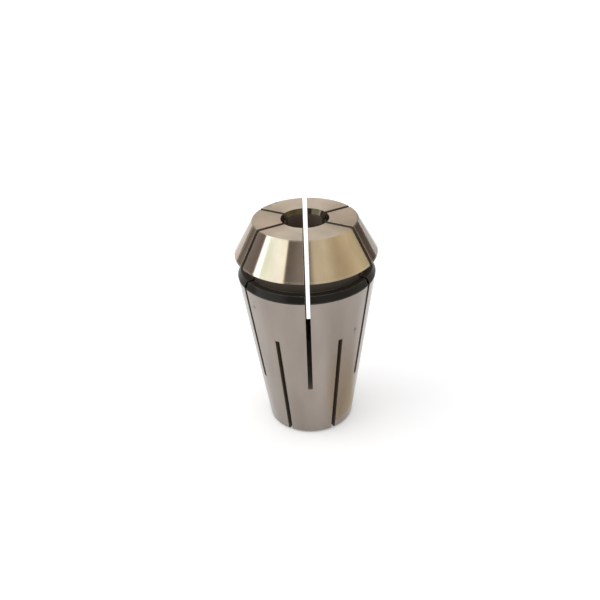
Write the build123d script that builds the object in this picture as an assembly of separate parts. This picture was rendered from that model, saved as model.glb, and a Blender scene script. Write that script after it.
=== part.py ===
"""Spring collet for a taper tool holder: one turned, hardened and ground steel sleeve.

The sleeve is sawn from both ends by turns, so that it closes evenly on a round shank when a nut
pushes it into a tapered socket. From the front face back it has a steep nose cone that the nut
bears on, a rim, an extraction groove that the nut's ring pulls on, and a long shallow taper.

Frame: millimetres, +Z up along the bore, origin at the centre of the small rear face, on which
the collet stands. A front slot lies on the -Y side.
"""
from build123d import *
from math import cos, radians, sin, sqrt, tan
import os

# Turned outside, measured back from the front face
overall_length = 27.5
rim_diameter = 17.0
nose_cone_length = 4.0
nose_half_angle = 30.0
face_edge_break = 0.08
rim_land = 0.22
rim_edge_break = 0.10
head_back_angle = 30.0
groove_diameter = 14.2
groove_floor_width = 0.979445
shoulder_bevel_length = 0.75
shoulder_bevel_width = 0.36
taper_half_angle = 8.0
taper_top_diameter = 16.56
rear_edge_break = 0.25

# Bore
bore_diameter = 5.0
mouth_half_angle = 30.0
mouth_width = 0.35
relief_diameter = 6.6
relief_depth = 8.0
relief_half_angle = 45.0
relief_edge_break = 0.3

# Slots, sawn by a disc that runs parallel to the bore and stops short of it on the far side
slots_per_end = 6
slot_width = 0.56
saw_diameter = 25.0
saw_tip_radius = 1.2
front_slot_length = 19.9
rear_slot_length = 14.7
cutter_margin = 2.0

# Places that follow from those
rim_radius = rim_diameter / 2
groove_radius = groove_diameter / 2
bore_radius = bore_diameter / 2
relief_radius = relief_diameter / 2
taper_top_radius = taper_top_diameter / 2
face_radius = rim_radius - nose_cone_length * tan(radians(nose_half_angle))
rim_front_z = overall_length - nose_cone_length
rim_back_z = rim_front_z - rim_land
head_drop = (rim_radius - rim_edge_break - groove_radius) * tan(radians(head_back_angle))
head_back_z = rim_back_z - rim_edge_break - head_drop
groove_back_z = head_back_z - groove_floor_width
taper_top_z = groove_back_z - shoulder_bevel_length
saw_radius = saw_diameter / 2
saw_axis_radius = saw_tip_radius + saw_radius


def taper_radius(z):
    """Outside radius of the long taper at height z."""
    return taper_top_radius - (taper_top_z - z) * tan(radians(taper_half_angle))


def outer_profile():
    """Outline of the turned blank from the axis at the front, round the outside, to the rear."""
    nose_slope = tan(radians(nose_half_angle))
    rear_radius = taper_radius(0)
    break_rise = rear_edge_break * tan(radians(taper_half_angle))
    return [
        (0, overall_length),
        (face_radius - face_edge_break, overall_length),
        (face_radius + face_edge_break * nose_slope, overall_length - face_edge_break),
        (rim_radius, rim_front_z),
        (rim_radius, rim_back_z),
        (rim_radius - rim_edge_break, rim_back_z - rim_edge_break),
        (groove_radius, head_back_z),
        (groove_radius, groove_back_z),
        (taper_top_radius - shoulder_bevel_width, groove_back_z),
        (taper_top_radius, taper_top_z),
        (rear_radius + break_rise, rear_edge_break),
        (rear_radius - rear_edge_break, 0),
        (0, 0),
    ]


def bore_profile():
    """Outline of the hole: the lead-in at the mouth, the gripping bore and the rear relief."""
    mouth_depth = mouth_width / tan(radians(mouth_half_angle))
    relief_rise = (relief_radius - bore_radius) / tan(radians(relief_half_angle))
    return [
        (0, overall_length),
        (bore_radius + mouth_width, overall_length),
        (bore_radius, overall_length - mouth_depth),
        (bore_radius, relief_depth + relief_rise),
        (relief_radius, relief_depth),
        (relief_radius, relief_edge_break),
        (relief_radius + relief_edge_break, 0),
        (0, 0),
    ]


def turned(points):
    """Solid of revolution of a (radius, height) outline about the bore's axis."""
    outline = Polyline(*[(r, 0, z) for r, z in points], close=True)
    return revolve(make_face(outline), Axis.Z, 360)


def saw_stop_front():
    """Height of the saw's axis when the front slot has its full length on the outside."""
    end_z = overall_length - front_slot_length
    across = saw_axis_radius - taper_radius(end_z)
    return end_z + sqrt(saw_radius**2 - across**2)


def saw_stop_rear():
    """Height of the saw's axis when the rear slot has its full length on the outside."""
    across = saw_axis_radius - taper_radius(rear_slot_length)
    return rear_slot_length - sqrt(saw_radius**2 - across**2)


def saw_path(stop_z, open_z):
    """What the saw removes on the -Y side as its axis runs from stop_z to open_z."""
    toward_open = 1 if open_z > stop_z else -1
    tip_open = (-saw_tip_radius, open_z)
    tip_stop = (-saw_tip_radius, stop_z)
    low_point = (-saw_axis_radius, stop_z - toward_open * saw_radius)
    axis_open = (-saw_axis_radius, open_z)
    middle = saw_radius * sqrt(0.5)
    arc_middle = (-saw_axis_radius + middle, stop_z - toward_open * middle)
    outline = [
        Line(tip_open, tip_stop),
        ThreePointArc(tip_stop, arc_middle, low_point),
        Line(low_point, axis_open),
        Line(axis_open, tip_open),
    ]
    profile = Plane((0, 0, 0), x_dir=(0, 1, 0), z_dir=(1, 0, 0)) * make_face(outline)
    return extrude(profile, amount=slot_width / 2, both=True)


def collet():
    """The finished sleeve: the turned blank, less its bore and the slots from both ends."""
    body = turned(outer_profile()) - turned(bore_profile())
    step = 360 / slots_per_end
    front_cut = saw_path(saw_stop_front(), overall_length + cutter_margin)
    rear_cut = saw_path(saw_stop_rear(), -cutter_margin)
    for slot in range(slots_per_end):
        body -= Rot(0, 0, slot * step) * front_cut
        body -= Rot(0, 0, (slot + 0.5) * step) * rear_cut
    return body


os.makedirs("parts", exist_ok=True)
export_step(collet(), "parts/collet.step")
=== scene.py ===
from math import cos, pi, radians, sin

import bpy
import numpy as np
from mathutils import Matrix, Vector

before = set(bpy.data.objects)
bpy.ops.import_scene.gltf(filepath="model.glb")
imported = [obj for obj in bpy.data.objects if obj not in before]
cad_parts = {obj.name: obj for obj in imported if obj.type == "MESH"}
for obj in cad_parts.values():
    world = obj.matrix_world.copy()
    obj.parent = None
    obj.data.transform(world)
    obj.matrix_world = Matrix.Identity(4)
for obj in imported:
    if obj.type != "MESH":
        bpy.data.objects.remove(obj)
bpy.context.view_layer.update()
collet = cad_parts["collet"]
print("frame loaded")

mmPerMetre = 1000.0
plainWhite = (1, 1, 1, 1)


def linearFromHex(text):
    # sRGB hex to linear: c/12.92 in the toe, ((c + 0.055)/1.055)^2.4 above it
    values = [int(text[i:i + 2], 16) / 255 for i in (1, 3, 5)]
    return tuple(c / 12.92 if c <= 0.04045 else ((c + 0.055) / 1.055) ** 2.4 for c in values) + (1.0,)


def addNode(tree, kind, settings=None, links=None):
    # adds one node, gives it its settings, and fills its sockets with numbers or links
    node = tree.nodes.new(kind)
    for key, value in (settings or {}).items():
        setattr(node, key, value)
    for key, value in (links or {}).items():
        if isinstance(value, bpy.types.NodeSocket):
            tree.links.new(value, node.inputs[key])
        else:
            node.inputs[key].default_value = value
    return node


def newMaterial(name):
    material = bpy.data.materials.new(name)
    material.use_nodes = True
    material.node_tree.nodes.clear()
    return material, material.node_tree


# the sleeve as turned and ground, in mm, heights from the small end
sleeve = {
    "length": 27.5,
    "faceRadius": 6.19,
    "rimRadius": 8.5,
    "rimHeight": 23.5,
    "rimBack": 23.26,
    "noseAngle": 30.0,
    "taperTop": 20.7,
    "taperTopRadius": 8.28,
    "rearRadius": 5.371,
    "taperAngle": 8.0,
    "mouthRadius": 2.85,
    "mouthHeight": 26.88,
}

# where the wheel went: lengths in mm
steel = {
    "nose": "#bfb6a8",
    # the taper is tinted darker than the nose: partly painted shade, for the floor in the sleeve's shadow
    # that it mirrors
    "taper": "#968c84",
    "face": "#ccc1b3",
    "mouth": "#524d41",
    "noseRough": 0.11,
    "taperRough": 0.24,
    "faceRough": 0.40,
    "mouthRough": 0.16,
    "anisotropy": 0.8,
    "oilFilm": 0.25,  # share of the surface under a thin film of oil
    "filmRough": 0.12,
    "skinStart": 0.20,  # a surface counts as ground down to this depth below the cone
    "skinEnd": 0.30,  # and not at all from this depth
    "faceSkin": 0.03,
    "offWalls": 0.3,  # a slot's wall has a smaller cosine to the outward line
    "offFloors": 0.78,  # and so has the floor where a slot runs out
    "intoBore": -0.7,  # the bore's lead-in faces the axis
    "blackLand": 0.12,  # of the taper's top, left black
    "edgeBreak": 0.10,  # over which a broken edge turns
    "edgeSamples": 6,
    "grindPitch": 0.16,  # between grinding lines, drawn coarser than a 60 grit wheel leaves them
    "grindDepth": 0.0012,
    "grindStrength": 0.6,
    "grindTurn": 0.25,  # of a full turn, so that the sheen is drawn out across the lines
    "waverWidth": 4.0,  # across a slow waver of those lines
    "waverReach": 0.10,
    # the clouds are partly random mottling of the finish and partly painted upright bands of reflection
    "cloudWidth": 2.4,  # across a soft cloud in the finish
    "cloudStretch": 5.0,  # times longer along the axis
    "cloudValues": (0.3, 0.7),  # where most of the noise lies, from dark to bright
    "cloudDark": 0.87,
    "cloudBright": 1.09,
}

# where no wheel went
oxide = {
    # the groove's lighter brown is painted light, lifting the shade in the groove
    "groove": "#3f372f",
    "band": "#151411",
    # a lighter tint on broken edges in the groove: rubbed oxide and a painted highlight
    "wearAndHighlight": "#8e877d",
    "cut": "#5f5348",
    "grooveRadius": 7.0,  # mm, nearer the axis lie only the slots and the bore
    "bandRadius": 7.9,  # mm, beyond it lies the shoulder
    "overlap": 0.02,  # mm of it under the edge of the ground taper
    "wearAndHighlightStart": 0.995,  # cosine between the flat and the rounded normal
    "wearAndHighlightFull": 0.93,
    "rough": 0.36,
    "gloss": 0.2,
}

# dry specks: place and width in mm, and the share of light that they leave
dirt = {
    "grain": 6.0,  # ragged bits per mm of edge
    "fade": 1.6,  # widths to where a speck has gone, about half a width of it taken by the grain
    "specks": [
        ((-6.20, -5.20, 19.36), 0.20, 0.70),
        ((-6.22, -5.02, 18.65), 0.27, 0.42),
        ((5.49, -5.13, 15.27), 0.27, 0.42),
        ((5.50, -5.02, 14.75), 0.18, 0.70),
        ((-3.48, 4.75, 27.5), 0.32, 0.70),
        ((-4.18, 3.87, 27.5), 0.26, 0.75),
    ],
}


def whereAll(tree, tests):
    # 1 where every test holds, else 0
    mask = None
    for value, operation, limit in tests:
        held = addNode(tree, "ShaderNodeMath", {"operation": operation}, {0: value, 1: limit}).outputs[0]
        if mask is not None:
            held = addNode(tree, "ShaderNodeMath", {"operation": "MULTIPLY"}, {0: mask, 1: held}).outputs[0]
        mask = held
    return mask


def onCone(tree, height, radius, low, high):
    # depth below a cone is the cone's radius at that height less the point's own:
    # the mask is 1 on the cone and 0 well below it
    coneRadius = addNode(tree, "ShaderNodeMapRange", {"clamp": False}, {
        "Value": height, "From Min": low[0], "From Max": high[0],
        "To Min": low[1], "To Max": high[1]}).outputs[0]
    depth = addNode(tree, "ShaderNodeMath", {"operation": "SUBTRACT"}, {0: coneRadius, 1: radius}).outputs[0]
    return addNode(tree, "ShaderNodeMapRange", {"interpolation_type": "SMOOTHSTEP"}, {
        "Value": depth, "From Min": steel["skinEnd"], "From Max": steel["skinStart"]}).outputs[0]


def sleeveNormal(tree, shape, broken, outward, nose, taper):
    # the true cone's normal: outward by the cosine of its angle, up or down by the sine
    normal = shape.outputs["Normal"]
    for mask, angle in ((nose, sleeve["noseAngle"]), (taper, -sleeve["taperAngle"])):
        level = addNode(tree, "ShaderNodeVectorMath", {"operation": "SCALE"}, {
            0: outward, "Scale": cos(radians(angle))}).outputs[0]
        tilted = addNode(tree, "ShaderNodeVectorMath", {"operation": "ADD"}, {
            0: level, 1: (0, 0, sin(radians(angle)))}).outputs[0]
        normal = addNode(tree, "ShaderNodeMix", {"data_type": "VECTOR"}, {
            0: mask, 4: normal, 5: tilted}).outputs[1]
    # and the turn that a broken edge adds to it
    turned = addNode(tree, "ShaderNodeVectorMath", {"operation": "SUBTRACT"}, {
        0: broken, 1: shape.outputs["Normal"]}).outputs[0]
    normal = addNode(tree, "ShaderNodeVectorMath", {"operation": "ADD"}, {0: normal, 1: turned}).outputs[0]
    return addNode(tree, "ShaderNodeVectorMath", {"operation": "NORMALIZE"}, {0: normal}).outputs[0]


def grindingLines(tree, inMm, height, radius, face, ground, normal):
    # they run round the cones and in rings on the face, so they follow height there and radius here
    along = addNode(tree, "ShaderNodeMix", {"data_type": "FLOAT"}, {0: face, 2: height, 3: radius}).outputs[0]
    drift = addNode(tree, "ShaderNodeTexNoise", {"noise_dimensions": "3D"}, {
        "Vector": inMm, "Scale": 1 / steel["waverWidth"], "Detail": 1.0}).outputs[0]
    wavering = addNode(tree, "ShaderNodeMath", {"operation": "MULTIPLY_ADD"}, {
        0: drift, 1: steel["waverReach"], 2: along}).outputs[0]
    lines = addNode(tree, "ShaderNodeTexNoise", {"noise_dimensions": "1D"}, {
        "W": wavering, "Scale": 1 / steel["grindPitch"], "Detail": 2.0, "Roughness": 0.6}).outputs[0]
    depth = addNode(tree, "ShaderNodeMath", {"operation": "MULTIPLY"}, {0: lines, 1: ground}).outputs[0]
    return addNode(tree, "ShaderNodeBump", None, {
        "Strength": steel["grindStrength"], "Distance": steel["grindDepth"] / mmPerMetre,
        "Height": depth, "Normal": normal}).outputs[0]


def cloudsAndPaintedBands(tree, inMm):
    # soft clouds drawn out along the axis: random mottling of the finish, and painted upright bands of
    # reflection on the taper
    stretched = addNode(tree, "ShaderNodeMapping", {"vector_type": "POINT"}, {
        "Vector": inMm, "Scale": (1.0, 1.0, 1 / steel["cloudStretch"])}).outputs[0]
    return addNode(tree, "ShaderNodeTexNoise", {"noise_dimensions": "3D"}, {
        "Vector": stretched, "Scale": 1 / steel["cloudWidth"], "Detail": 3.0, "Roughness": 0.5}).outputs[0]


def shadeOfSteel(tree, inMm, cloud):
    # the clouds, times what each speck leaves, which follows the distance to it,
    # stirred by fine noise so that its edge is ragged
    darkest, brightest = steel["cloudValues"]
    shade = addNode(tree, "ShaderNodeMapRange", {"clamp": True}, {
        "Value": cloud, "From Min": darkest, "From Max": brightest,
        "To Min": steel["cloudDark"], "To Max": steel["cloudBright"]}).outputs[0]
    stir = addNode(tree, "ShaderNodeTexNoise", {"noise_dimensions": "3D"}, {
        "Vector": inMm, "Scale": dirt["grain"], "Detail": 2.0}).outputs[0]
    for spot, width, left in dirt["specks"]:
        away = addNode(tree, "ShaderNodeVectorMath", {"operation": "DISTANCE"}, {
            0: inMm, 1: spot}).outputs["Value"]
        ragged = addNode(tree, "ShaderNodeMath", {"operation": "MULTIPLY_ADD"}, {
            0: stir, 1: width, 2: away}).outputs[0]
        kept = addNode(tree, "ShaderNodeMapRange", {"interpolation_type": "SMOOTHSTEP"}, {
            "Value": ragged, "From Min": width, "From Max": width * dirt["fade"],
            "To Min": left, "To Max": 1.0}).outputs[0]
        shade = addNode(tree, "ShaderNodeMath", {"operation": "MULTIPLY"}, {0: shade, 1: kept}).outputs[0]
    return shade


def wearAndHighlightOnEdges(tree, shape, broken, groove, cloud):
    # rubbed oxide and a painted highlight on the groove's broken edges, as strong as the rounded normal
    # leaves the flat one
    turning = addNode(tree, "ShaderNodeVectorMath", {"operation": "DOT_PRODUCT"}, {
        0: broken, 1: shape.outputs["True Normal"]}).outputs["Value"]
    wearAndHighlight = addNode(tree, "ShaderNodeMapRange", {"interpolation_type": "SMOOTHSTEP"}, {
        "Value": turning, "From Min": oxide["wearAndHighlightStart"], "From Max": oxide["wearAndHighlightFull"]}).outputs[0]
    for share in (groove, cloud):
        wearAndHighlight = addNode(tree, "ShaderNodeMath", {"operation": "MULTIPLY"}, {0: wearAndHighlight, 1: share}).outputs[0]
    return wearAndHighlight


# Hardened tool steel, turned, then ground on the nose, the taper and the front face.
# To the eye: bright warm grey with faint lines round it, and matt brown-black oxide in the
# groove, the slots and the bore, where no wheel reached.
def makeSteel():
    material, tree = newMaterial("groundToolSteel")
    place = addNode(tree, "ShaderNodeTexCoord").outputs["Object"]
    inMm = addNode(tree, "ShaderNodeVectorMath", {"operation": "SCALE"}, {
        0: place, "Scale": mmPerMetre}).outputs[0]
    x, y, height = addNode(tree, "ShaderNodeSeparateXYZ", None, {0: inMm}).outputs
    level = addNode(tree, "ShaderNodeCombineXYZ", None, {0: x, 1: y}).outputs[0]
    radius = addNode(tree, "ShaderNodeVectorMath", {"operation": "LENGTH"}, {0: level}).outputs["Value"]
    outward = addNode(tree, "ShaderNodeVectorMath", {"operation": "NORMALIZE"}, {0: level}).outputs[0]
    shape = addNode(tree, "ShaderNodeNewGeometry")
    facing = addNode(tree, "ShaderNodeVectorMath", {"operation": "DOT_PRODUCT"}, {
        0: shape.outputs["True Normal"], 1: outward}).outputs["Value"]

    # ground: on the cone, and facing outward as no slot does
    groundTop = sleeve["taperTop"] - steel["blackLand"]
    noseZone = whereAll(tree, [(height, "GREATER_THAN", sleeve["rimBack"]),
                               (facing, "GREATER_THAN", steel["offWalls"])])
    taperZone = whereAll(tree, [(height, "LESS_THAN", groundTop),
                                (facing, "GREATER_THAN", steel["offFloors"])])
    onNose = onCone(tree, height, radius,
                    (sleeve["rimHeight"], sleeve["rimRadius"]), (sleeve["length"], sleeve["faceRadius"]))
    onTaper = onCone(tree, height, radius,
                     (0.0, sleeve["rearRadius"]), (sleeve["taperTop"], sleeve["taperTopRadius"]))
    nose = addNode(tree, "ShaderNodeMath", {"operation": "MULTIPLY"}, {0: onNose, 1: noseZone}).outputs[0]
    taper = addNode(tree, "ShaderNodeMath", {"operation": "MULTIPLY"}, {0: onTaper, 1: taperZone}).outputs[0]
    face = whereAll(tree, [(height, "GREATER_THAN", sleeve["length"] - steel["faceSkin"]),
                           (radius, "GREATER_THAN", sleeve["mouthRadius"])])
    mouth = whereAll(tree, [(height, "GREATER_THAN", sleeve["mouthHeight"]),
                            (facing, "LESS_THAN", steel["intoBore"])])
    ground = nose
    for part in (taper, face):
        ground = addNode(tree, "ShaderNodeMath", {"operation": "MAXIMUM"}, {0: ground, 1: part}).outputs[0]
    metal = addNode(tree, "ShaderNodeMath", {"operation": "MAXIMUM"}, {0: ground, 1: mouth}).outputs[0]
    film = addNode(tree, "ShaderNodeMath", {"operation": "MULTIPLY"}, {
        0: ground, 1: steel["oilFilm"]}).outputs[0]

    # oxide: grey-brown on sawn and bored walls, near black on the shoulder band, and in the groove a lighter
    # brown that is painted light, lifting the shade in the groove
    groove = whereAll(tree, [(height, "GREATER_THAN", groundTop - oxide["overlap"]),
                             (height, "LESS_THAN", sleeve["rimBack"]),
                             (radius, "GREATER_THAN", oxide["grooveRadius"])])
    beyond = addNode(tree, "ShaderNodeMath", {"operation": "GREATER_THAN"}, {
        0: radius, 1: oxide["bandRadius"]}).outputs[0]
    band = addNode(tree, "ShaderNodeMath", {"operation": "MULTIPLY"}, {0: groove, 1: beyond}).outputs[0]

    # edges are broken by hand with a stone
    broken = addNode(tree, "ShaderNodeBevel", {"samples": steel["edgeSamples"]}, {
        "Radius": steel["edgeBreak"] / mmPerMetre}).outputs[0]
    normal = sleeveNormal(tree, shape, broken, outward, nose, taper)
    lines = grindingLines(tree, inMm, height, radius, face, ground, normal)
    cloud = cloudsAndPaintedBands(tree, inMm)
    shade = shadeOfSteel(tree, inMm, cloud)
    # rubbed oxide and a painted highlight where the groove's edges turn
    wearAndHighlight = wearAndHighlightOnEdges(tree, shape, broken, groove, cloud)

    colour = linearFromHex(oxide["cut"])
    for mask, tint in ((groove, oxide["groove"]), (band, oxide["band"]), (wearAndHighlight, oxide["wearAndHighlight"])):
        colour = addNode(tree, "ShaderNodeMix", {"data_type": "RGBA"}, {
            0: mask, 6: colour, 7: linearFromHex(tint)}).outputs[2]
    roughness = oxide["rough"]
    for mask, name in ((mouth, "mouth"), (nose, "nose"), (taper, "taper"), (face, "face")):
        shaded = addNode(tree, "ShaderNodeVectorMath", {"operation": "SCALE"}, {
            0: linearFromHex(steel[name])[:3], "Scale": shade}).outputs[0]
        colour = addNode(tree, "ShaderNodeMix", {"data_type": "RGBA"}, {
            0: mask, 6: colour, 7: shaded}).outputs[2]
        roughness = addNode(tree, "ShaderNodeMix", {"data_type": "FLOAT"}, {
            0: mask, 2: roughness, 3: steel[name + "Rough"]}).outputs[0]

    tangent = addNode(tree, "ShaderNodeTangent", {"direction_type": "RADIAL", "axis": "Z"}).outputs[0]
    shader = addNode(tree, "ShaderNodeBsdfPrincipled", None, {
        "Base Color": colour, "Metallic": metal, "Roughness": roughness, "Normal": lines,
        "Specular IOR Level": oxide["gloss"], "Coat Weight": film, "Coat Roughness": steel["filmRough"],
        "Anisotropic": steel["anisotropy"], "Anisotropic Rotation": steel["grindTurn"],
        "Tangent": tangent})
    addNode(tree, "ShaderNodeOutputMaterial", None, {"Surface": shader.outputs[0]})
    return material


steelMaterial = makeSteel()
collet.data.materials.clear()
collet.data.materials.append(steelMaterial)
print("steel ready")


def seenDirectly(tree, value):
    # the number for what the eye and the bright metal see, and 0 for the light that falls on the room
    path = addNode(tree, "ShaderNodeLightPath")
    seen = path.outputs["Is Camera Ray"]
    for ray in ("Is Glossy Ray", "Is Transmission Ray"):
        seen = addNode(tree, "ShaderNodeMath", {"operation": "MAXIMUM"}, {
            0: seen, 1: path.outputs[ray]}).outputs[0]
    return addNode(tree, "ShaderNodeMath", {"operation": "MULTIPLY"}, {0: seen, 1: value}).outputs[0]


def sheetFromGrid(name, points, material):
    # quads between neighbouring rows and columns of a grid of points
    rows, columns = points.shape[:2]
    index = np.arange(rows * columns).reshape(rows, columns)
    faces = np.stack([index[:-1, :-1], index[:-1, 1:], index[1:, 1:], index[1:, :-1]], axis=-1)
    mesh = bpy.data.meshes.new(name)
    mesh.from_pydata(points.reshape(-1, 3).tolist(), [], faces.reshape(-1, 4).tolist())
    mesh.materials.append(material)
    piece = bpy.data.objects.new(name, mesh)
    bpy.context.scene.collection.objects.link(piece)
    return piece


def angleRoundSleeve(tree, place):
    # 0 towards the camera, growing to the right, from x and -y
    axes = addNode(tree, "ShaderNodeSeparateXYZ", None, {0: place})
    toFront = addNode(tree, "ShaderNodeMath", {"operation": "MULTIPLY"}, {
        0: axes.outputs["Y"], 1: -1.0}).outputs[0]
    return addNode(tree, "ShaderNodeMath", {"operation": "ARCTAN2"}, {
        0: axes.outputs["X"], 1: toFront}).outputs[0]


def stageForMirrors(piece):
    # only the bright metal sees it
    piece.visible_camera = False
    piece.visible_diffuse = False
    piece.visible_shadow = False


# lengths in m
floor = {
    "colour": "#fafafa",
    "glow": 0.20,  # strength, for the eye and the bright metal
    "reach": 30.0,
    "rows": 3,
    "drop": 0.00003,  # below the rear face, so that the two never lie in one plane
}


# a flat square grid: a pale matt floor that keeps the soft shadow, and clear from below
def makeFloor():
    material, tree = newMaterial("paleFloor")
    matt = addNode(tree, "ShaderNodeBsdfDiffuse", None, {"Color": linearFromHex(floor["colour"])})
    glow = addNode(tree, "ShaderNodeEmission", None, {
        "Color": plainWhite, "Strength": seenDirectly(tree, floor["glow"])})
    above = addNode(tree, "ShaderNodeAddShader", None, {0: matt.outputs[0], 1: glow.outputs[0]})
    below = addNode(tree, "ShaderNodeBsdfTransparent")
    fromBelow = addNode(tree, "ShaderNodeNewGeometry").outputs["Backfacing"]
    shader = addNode(tree, "ShaderNodeMixShader", None, {
        0: fromBelow, 1: above.outputs[0], 2: below.outputs[0]})
    addNode(tree, "ShaderNodeOutputMaterial", None, {"Surface": shader.outputs[0]})
    reach = np.linspace(-floor["reach"], floor["reach"], floor["rows"])
    acrossX, acrossY = np.meshgrid(reach, reach)
    points = np.stack([acrossX, acrossY, np.full_like(acrossX, -floor["drop"])], axis=-1)
    sheetFromGrid("floor", points, material)


# lengths in m
lampSettings = {
    "power": 0.60,  # W
    "size": 0.40,
    "place": (-0.34, -0.04, 0.30),
    "aim": (0, 0, 0.012),
}


# one soft lamp high on the left, aimed at the sleeve
def makeLamp():
    data = bpy.data.lights.new("softLamp", "AREA")
    data.shape = "SQUARE"
    data.size = lampSettings["size"]
    data.energy = lampSettings["power"]
    lamp = bpy.data.objects.new("softLamp", data)
    bpy.context.scene.collection.objects.link(lamp)
    place = Vector(lampSettings["place"])
    turn = (Vector(lampSettings["aim"]) - place).to_track_quat("-Z", "Y")
    lamp.matrix_world = Matrix.Translation(place) @ turn.to_matrix().to_4x4()
    lamp.visible_glossy = False


# lengths in m; a stop is an angle in degrees, a colour and a strength, and left is negative:
# two stops close together make a hard edge, stops far apart a soft one
wall = {
    "radius": 0.26,
    "low": 0.004,
    "high": 0.30,
    "columns": 181,
    "stops": [
        (-180, "#e8ddd0", 1.15),  # pale back wall
        (-150, "#b9a9a2", 1.0),
        (-136, "#b2a39e", 1.0),
        (-127, "#81756f", 1.0),  # grey side panel
        (-114, "#a79b96", 1.0),
        (-89, "#857976", 1.0),
        (-86.5, "#ffffff", 3.0),  # strip light
        (-79, "#ffffff", 3.0),
        (-76.5, "#f3fdf0", 1.75),  # window
        (-46, "#fdfdf6", 1.75),
        (-38, "#fff9ec", 1.85),
        (-35.5, "#80756f", 1.0),  # grey panel beside the camera
        (-10, "#a39892", 1.0),
        (4, "#8d8078", 1.0),
        (14, "#f4e6cb", 1.0),  # cream wall on the right
        (36, "#f6e8cc", 1.0),
        (60, "#d9c5a4", 1.0),
        (90, "#f6e4c2", 1.0),
        (106, "#e0d2b0", 1.0),
        (121, "#645955", 1.0),  # grey panel at the back right
        (148, "#655b56", 1.0),
        (166, "#a79b91", 1.0),
        (180, "#e8ddd0", 1.15),
    ],
}


# an upright drum round the sleeve: the radius is fixed, angle and height are the two parameters,
# and colour and strength follow the angle
def makeWall():
    material, tree = newMaterial("studioWall")
    place = addNode(tree, "ShaderNodeTexCoord").outputs["Object"]
    share = addNode(tree, "ShaderNodeMapRange", None, {
        "Value": angleRoundSleeve(tree, place), "From Min": -pi, "From Max": pi,
        "To Min": 0.0, "To Max": 1.0}).outputs[0]
    tints = addNode(tree, "ShaderNodeValToRGB", None, {"Fac": share})
    levels = addNode(tree, "ShaderNodeValToRGB", None, {"Fac": share})
    brightest = max(strength for _, _, strength in wall["stops"])
    for ramp in (tints.color_ramp, levels.color_ramp):
        while len(ramp.elements) < len(wall["stops"]):
            ramp.elements.new(0.5)  # anywhere, as each stop is placed below
    for index, (degrees, tint, strength) in enumerate(wall["stops"]):
        for ramp, value in ((tints.color_ramp, linearFromHex(tint)),
                            (levels.color_ramp, (strength / brightest,) * 3 + (1.0,))):
            ramp.elements[index].position = (degrees + 180) / 360
            ramp.elements[index].color = value
    strength = addNode(tree, "ShaderNodeMath", {"operation": "MULTIPLY"}, {
        0: levels.outputs["Color"], 1: brightest}).outputs[0]
    glow = addNode(tree, "ShaderNodeEmission", None, {"Color": tints.outputs["Color"], "Strength": strength})
    addNode(tree, "ShaderNodeOutputMaterial", None, {"Surface": glow.outputs[0]})
    turn, height = np.meshgrid(
        np.linspace(-pi, pi, wall["columns"]), np.linspace(wall["low"], wall["high"], 2))
    points = np.stack([wall["radius"] * np.sin(turn), -wall["radius"] * np.cos(turn), height], axis=-1)
    stageForMirrors(sheetFromGrid("studioWall", points, material))


# on the floor, angles in degrees as on the wall, distances in m:
# each fades sideways from its middle, and along its length from clear to full
floorCards = {
    "lift": 0.0001,
    "solidShare": 0.4,  # of a card's half width, before it starts to fade
    "columns": 33,
    "cards": [
        # painted shade: a warm, slightly dim sheet by the foot, standing in for the shaded floor that the
        # taper mirrors
        {"name": "shadedFloorCard", "middle": 66, "half": 46, "inner": 0.0062, "outer": 0.026,
         "clear": 0.026, "full": 0.010, "colour": "#e3d5bd", "strength": 0.95},
        {"name": "greyCard", "middle": 142, "half": 40, "inner": 0.06, "outer": 0.25,
         "clear": 0.07, "full": 0.12, "colour": "#f6f4f0", "strength": 0.68},
        {"name": "paleCard", "middle": -142, "half": 40, "inner": 0.06, "outer": 0.25,
         "clear": 0.07, "full": 0.12, "colour": "#f8efec", "strength": 0.98},
    ],
}


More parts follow.
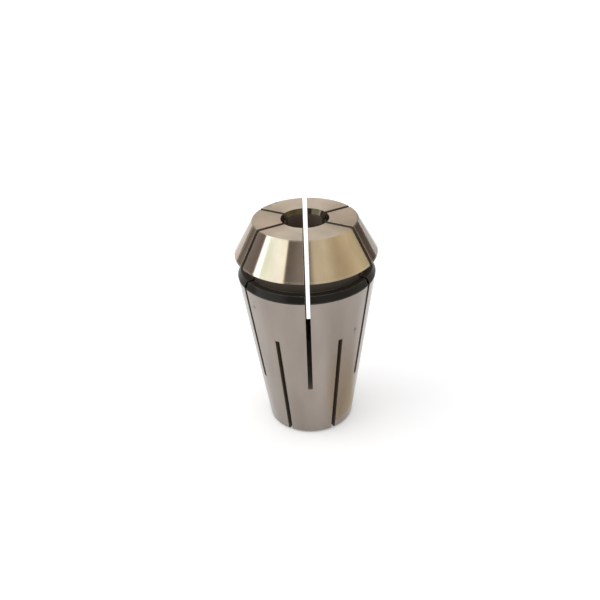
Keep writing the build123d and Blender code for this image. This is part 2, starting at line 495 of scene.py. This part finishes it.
# one flat card: angle and distance from the axis are the two parameters
def makeFloorCard(card):
    material, tree = newMaterial(card["name"])
    middle, half = radians(card["middle"]), radians(card["half"])
    place = addNode(tree, "ShaderNodeTexCoord").outputs["Object"]
    away = addNode(tree, "ShaderNodeMath", {"operation": "SUBTRACT"}, {
        0: angleRoundSleeve(tree, place), 1: middle}).outputs[0]
    away = addNode(tree, "ShaderNodeMath", {"operation": "ABSOLUTE"}, {0: away}).outputs[0]
    sideways = addNode(tree, "ShaderNodeMapRange", {"interpolation_type": "SMOOTHSTEP"}, {
        "Value": away, "From Min": half, "From Max": half * floorCards["solidShare"]}).outputs[0]
    distance = addNode(tree, "ShaderNodeVectorMath", {"operation": "LENGTH"}, {0: place}).outputs["Value"]
    outwards = addNode(tree, "ShaderNodeMapRange", {"interpolation_type": "SMOOTHSTEP"}, {
        "Value": distance, "From Min": card["clear"], "From Max": card["full"]}).outputs[0]
    cover = addNode(tree, "ShaderNodeMath", {"operation": "MULTIPLY"}, {0: sideways, 1: outwards}).outputs[0]
    clear = addNode(tree, "ShaderNodeBsdfTransparent")
    glow = addNode(tree, "ShaderNodeEmission", None, {
        "Color": linearFromHex(card["colour"]), "Strength": card["strength"]})
    shader = addNode(tree, "ShaderNodeMixShader", None, {0: cover, 1: clear.outputs[0], 2: glow.outputs[0]})
    addNode(tree, "ShaderNodeOutputMaterial", None, {"Surface": shader.outputs[0]})
    turn, reach = np.meshgrid(
        np.linspace(middle - half, middle + half, floorCards["columns"]),
        np.array([card["inner"], card["outer"]]))
    lift = np.full_like(turn, floorCards["lift"])
    points = np.stack([reach * np.sin(turn), -reach * np.cos(turn), lift], axis=-1)
    stageForMirrors(sheetFromGrid(card["name"], points, material))


skyLevel = 0.87  # what lights the matt surfaces, where the eye and the bright metal see 1


def makeWorld():
    world = bpy.data.worlds.new("studio")
    bpy.context.scene.world = world
    world.use_nodes = True
    tree = world.node_tree
    tree.nodes.clear()
    extra = seenDirectly(tree, 1.0 - skyLevel)
    strength = addNode(tree, "ShaderNodeMath", {"operation": "ADD"}, {0: extra, 1: skyLevel}).outputs[0]
    sky = addNode(tree, "ShaderNodeBackground", None, {"Color": plainWhite, "Strength": strength})
    addNode(tree, "ShaderNodeOutputWorld", None, {"Surface": sky.outputs[0]})


makeFloor()
makeLamp()
makeWall()
for card in floorCards["cards"]:
    makeFloorCard(card)
makeWorld()
print("room ready")

# where the camera stands, in mm from the middle of the small end, and how it is turned, in degrees
view = {
    "place": (0.485, -80.454, 62.752),
    "turn": -1.029,
    "down": 29.884,
    "roll": -2.347,
    "focal": 751.67,  # in widths of one picture point
    "frameWidth": 600,
    "sensorWidth": 36.0,
    "nearest": 0.002,  # m
    "farthest": 100.0,  # m
}


# forward from the turn and the downward tilt, then the frame rolled about it
def makeCamera():
    turn, down, roll = (radians(view[key]) for key in ("turn", "down", "roll"))
    forward = Vector((sin(turn) * cos(down), cos(turn) * cos(down), -sin(down)))
    right = forward.cross(Vector((0, 0, 1))).normalized()
    up = right.cross(forward)
    acrossFrame = cos(roll) * right + sin(roll) * up
    upFrame = -sin(roll) * right + cos(roll) * up
    data = bpy.data.cameras.new("camera")
    data.sensor_width = view["sensorWidth"]
    data.lens = view["focal"] / view["frameWidth"] * view["sensorWidth"]
    data.clip_start = view["nearest"]
    data.clip_end = view["farthest"]
    camera = bpy.data.objects.new("camera", data)
    bpy.context.scene.collection.objects.link(camera)
    turned = Matrix((acrossFrame, upFrame, -forward)).transposed().to_4x4()
    camera.matrix_world = Matrix.Translation(Vector(view["place"]) / mmPerMetre) @ turned
    bpy.context.scene.camera = camera


makeCamera()
bpy.context.scene.view_settings.view_transform = "Standard"
print("camera ready")
